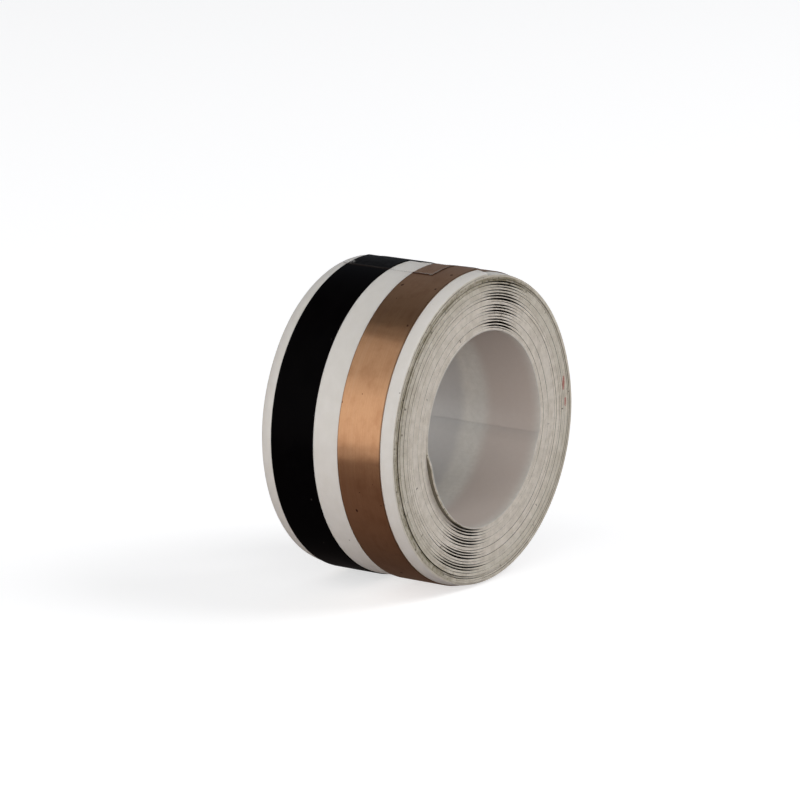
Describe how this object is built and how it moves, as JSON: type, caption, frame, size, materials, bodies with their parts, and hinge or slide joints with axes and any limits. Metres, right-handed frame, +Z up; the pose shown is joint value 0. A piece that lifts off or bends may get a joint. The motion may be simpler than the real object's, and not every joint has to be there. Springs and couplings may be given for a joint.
{
  "type": "two-conductor foil tape roll",
  "caption": "Coreless roll of self-adhesive tape: parallel copper and black foil strips on white film with a release liner, its free end held by a clear tab.",
  "frame": {"origin": "middle of the open bore, on the roll's axis, halfway along its width", "axes": "+Y along the roll's axis towards the black strip's side, +Z up as the roll stands on its tread, -X towards the front, where the free end starts"},
  "size_m": [0.0325, 0.016, 0.0327],
  "materials": {
    "liner": "translucent glassine",
    "adhesive": "tacky, clear to amber",
    "film": "satin white",
    "copper_foil": "brushed bare copper",
    "black_foil": "smooth semi-gloss black",
    "clear_film": "clear glossy"
  },
  "bodies": {
    "roll": {"release_liner_roll": "liner", "adhesive_layer_roll": "adhesive", "carrier_film_roll": "film", "copper_strip_roll": "copper_foil", "black_strip_roll": "black_foil"},
    "liner_end": {"release_liner_end": "liner"},
    "tape_end": {"adhesive_layer_end": "adhesive", "carrier_film_end": "film", "copper_strip_end": "copper_foil", "black_strip_end": "black_foil"},
    "tab": {"hold_down_tab": "clear_film"}
  },
  "joints": [
    {"name": "lift_free_end", "type": "hinge", "parent": "roll", "child": "liner_end", "pos_m": [-0.01532, 0, 0.00558], "axis": [0, -1, 0], "range_deg": [0, 60]},
    {"name": "peel_from_liner", "type": "hinge", "parent": "liner_end", "child": "tape_end", "pos_m": [-0.01532, 0, 0.00558], "axis": [0, -1, 0], "range_deg": [0, 60]},
    {"name": "lift_tab", "type": "hinge", "parent": "tape_end", "child": "tab", "pos_m": [-0.00339, 0, 0.01597], "axis": [0, -1, 0], "range_deg": [0, 80]}
  ]
}
